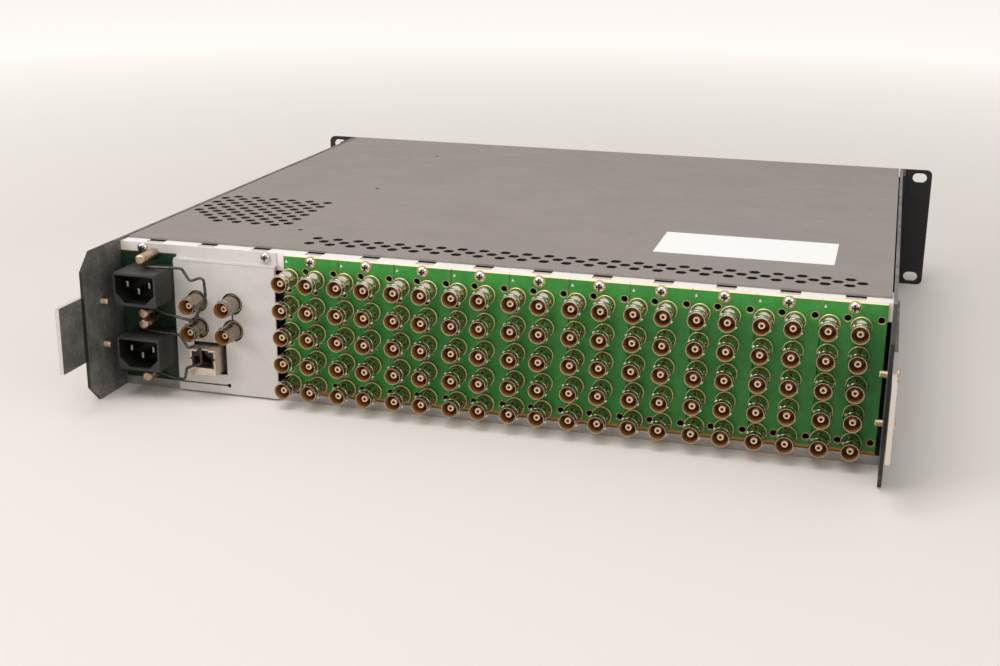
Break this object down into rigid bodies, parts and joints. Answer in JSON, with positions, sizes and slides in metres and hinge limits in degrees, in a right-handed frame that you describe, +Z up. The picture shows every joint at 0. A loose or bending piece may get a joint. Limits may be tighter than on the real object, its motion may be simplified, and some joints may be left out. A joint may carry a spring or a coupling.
{
  "type": "modular card frame",
  "caption": "Two-unit rack frame for plug-in cards, with coaxial rear boards, power inlets with wire bails, vented cover and a fan door.",
  "frame": {"origin": "centre of the underside of the bottom pan", "axes": "+Z up, +Y towards the rear connectors, -Y towards the front door, +X towards the power inlets"},
  "size_m": [0.4826, 0.4703, 0.0883],
  "materials": {
    "zinc": "zinc-plated sheet",
    "dark_zinc": "dark mottled zinc sheet",
    "bright_rail": "bright plated sheet",
    "cover_paint": "satin taupe grey paint",
    "label": "blank white label",
    "black_paint": "satin black powder coat",
    "black_screw": "blackened steel",
    "brass_screw": "yellow zinc",
    "bright_screw": "nickel-plated steel",
    "green_board": "green solder mask",
    "dark_board": "dark green solder mask",
    "card_board": "green solder mask with black parts",
    "jack_nickel": "nickel plating",
    "contact_gold": "gold plating",
    "ivory_plastic": "moulded",
    "guide_plastic": "moulded",
    "plate_metal": "light grey coated sheet",
    "tin_shell": "tinned sheet",
    "black_plastic": "moulded",
    "pin_plate": "tin plating",
    "post_metal": "turned steel",
    "wire_steel": "drawn steel wire",
    "supply_case": "zinc-plated sheet case",
    "knob_metal": "turned and grooved"
  },
  "bodies": {
    "frame": {"base_pan": "zinc", "side_wall_left": "dark_zinc", "side_wall_right": "dark_zinc", "top_cover": "cover_paint", "cover_label": "label", "rear_rail": "bright_rail", "supply_bay": "zinc", "rack_ear_left": "black_paint", "rack_ear_right": "black_paint", "support_bar_left": "dark_zinc", "support_bar_right": "dark_zinc", "ear_screws": "black_screw", "bar_screws": "brass_screw", "rear_boards": "green_board", "board_screws": "bright_screw", "jack_barrels": "jack_nickel", "jack_contacts": "contact_gold", "rear_connectors": "black_plastic", "control_plate": "plate_metal", "plate_screws": "bright_screw", "control_board": "dark_board", "reference_jacks": "jack_nickel", "reference_contacts": "contact_gold", "network_jack": "tin_shell", "inlet_board": "dark_board", "power_inlet_upper": "black_plastic", "power_inlet_lower": "black_plastic", "inlet_pins": "pin_plate", "bail_posts": "post_metal", "supply_sockets": "ivory_plastic", "midplane": "green_board", "card_sockets": "black_plastic", "lower_guides": "guide_plastic", "upper_guides": "guide_plastic", "hinge_pins": "post_metal"},
    "door": {"front_door": "black_paint", "fan_frames": "black_plastic"},
    "fan_1": {"fan_rotor_1": "black_plastic"},
    "fan_2": {"fan_rotor_2": "black_plastic"},
    "fan_3": {"fan_rotor_3": "black_plastic"},
    "fan_4": {"fan_rotor_4": "black_plastic"},
    "knob_left": {"door_knob_left": "knob_metal"},
    "knob_right": {"door_knob_right": "knob_metal"},
    "bail_upper": {"wire_bail_upper": "wire_steel"},
    "bail_lower": {"wire_bail_lower": "wire_steel"},
    "supply_upper": {"power_supply_upper": "supply_case"},
    "supply_lower": {"power_supply_lower": "supply_case"},
    "plug_in_card_1": {"card_1": "card_board"},
    "plug_in_card_2": {"card_2": "card_board"},
    "plug_in_card_3": {"card_3": "card_board"},
    "plug_in_card_4": {"card_4": "card_board"},
    "plug_in_card_5": {"card_5": "card_board"},
    "plug_in_card_6": {"card_6": "card_board"},
    "plug_in_card_7": {"card_7": "card_board"},
    "plug_in_card_8": {"card_8": "card_board"},
    "plug_in_card_9": {"card_9": "card_board"},
    "plug_in_card_10": {"card_10": "card_board"},
    "plug_in_control_card": {"control_card": "card_board"}
  },
  "joints": [
    {"name": "door_hinge", "type": "hinge", "parent": "frame", "child": "door", "pos_m": [0, -0.2033, 0.0065], "axis": [1, 0, 0], "range_deg": [0, 80]},
    {"name": "fan_1_spin", "type": "hinge", "parent": "door", "child": "fan_1", "pos_m": [-0.144, -0.195, 0.04405], "axis": [0, 1, 0], "continuous": true},
    {"name": "fan_2_spin", "type": "hinge", "parent": "door", "child": "fan_2", "pos_m": [-0.048, -0.195, 0.04405], "axis": [0, 1, 0], "continuous": true},
    {"name": "fan_3_spin", "type": "hinge", "parent": "door", "child": "fan_3", "pos_m": [0.048, -0.195, 0.04405], "axis": [0, 1, 0], "continuous": true},
    {"name": "fan_4_spin", "type": "hinge", "parent": "door", "child": "fan_4", "pos_m": [0.144, -0.195, 0.04405], "axis": [0, 1, 0], "continuous": true},
    {"name": "knob_left_turn", "type": "hinge", "parent": "door", "child": "knob_left", "pos_m": [0.196, -0.206, 0.04405], "axis": [0, 1, 0], "range_deg": [0, 90]},
    {"name": "knob_right_turn", "type": "hinge", "parent": "door", "child": "knob_right", "pos_m": [-0.196, -0.206, 0.04405], "axis": [0, -1, 0], "range_deg": [0, 90]},
    {"name": "bail_upper_swing", "type": "hinge", "parent": "frame", "child": "bail_upper", "pos_m": [0.1958, 0.2045, 0.0654], "axis": [0, 0, -1], "range_deg": [0, 86]},
    {"name": "bail_lower_swing", "type": "hinge", "parent": "frame", "child": "bail_lower", "pos_m": [0.1958, 0.2045, 0.0273], "axis": [0, 0, -1], "range_deg": [0, 76]},
    {"name": "supply_upper_slide", "type": "slide", "parent": "frame", "child": "supply_upper", "axis": [0, -1, 0], "range_m": [0, 0.02]},
    {"name": "supply_lower_slide", "type": "slide", "parent": "frame", "child": "supply_lower", "axis": [0, -1, 0], "range_m": [0, 0.02]},
    {"name": "card_1_slide", "type": "slide", "parent": "frame", "child": "plug_in_card_1", "axis": [0, -1, 0], "range_m": [0, 0.02]},
    {"name": "card_2_slide", "type": "slide", "parent": "frame", "child": "plug_in_card_2", "axis": [0, -1, 0], "range_m": [0, 0.02]},
    {"name": "card_3_slide", "type": "slide", "parent": "frame", "child": "plug_in_card_3", "axis": [0, -1, 0], "range_m": [0, 0.02]},
    {"name": "card_4_slide", "type": "slide", "parent": "frame", "child": "plug_in_card_4", "axis": [0, -1, 0], "range_m": [0, 0.02]},
    {"name": "card_5_slide", "type": "slide", "parent": "frame", "child": "plug_in_card_5", "axis": [0, -1, 0], "range_m": [0, 0.02]},
    {"name": "card_6_slide", "type": "slide", "parent": "frame", "child": "plug_in_card_6", "axis": [0, -1, 0], "range_m": [0, 0.02]},
    {"name": "card_7_slide", "type": "slide", "parent": "frame", "child": "plug_in_card_7", "axis": [0, -1, 0], "range_m": [0, 0.02]},
    {"name": "card_8_slide", "type": "slide", "parent": "frame", "child": "plug_in_card_8", "axis": [0, -1, 0], "range_m": [0, 0.02]},
    {"name": "card_9_slide", "type": "slide", "parent": "frame", "child": "plug_in_card_9", "axis": [0, -1, 0], "range_m": [0, 0.02]},
    {"name": "card_10_slide", "type": "slide", "parent": "frame", "child": "plug_in_card_10", "axis": [0, -1, 0], "range_m": [0, 0.02]},
    {"name": "control_card_slide", "type": "slide", "parent": "frame", "child": "plug_in_control_card", "axis": [0, -1, 0], "range_m": [0, 0.02]}
  ]
}
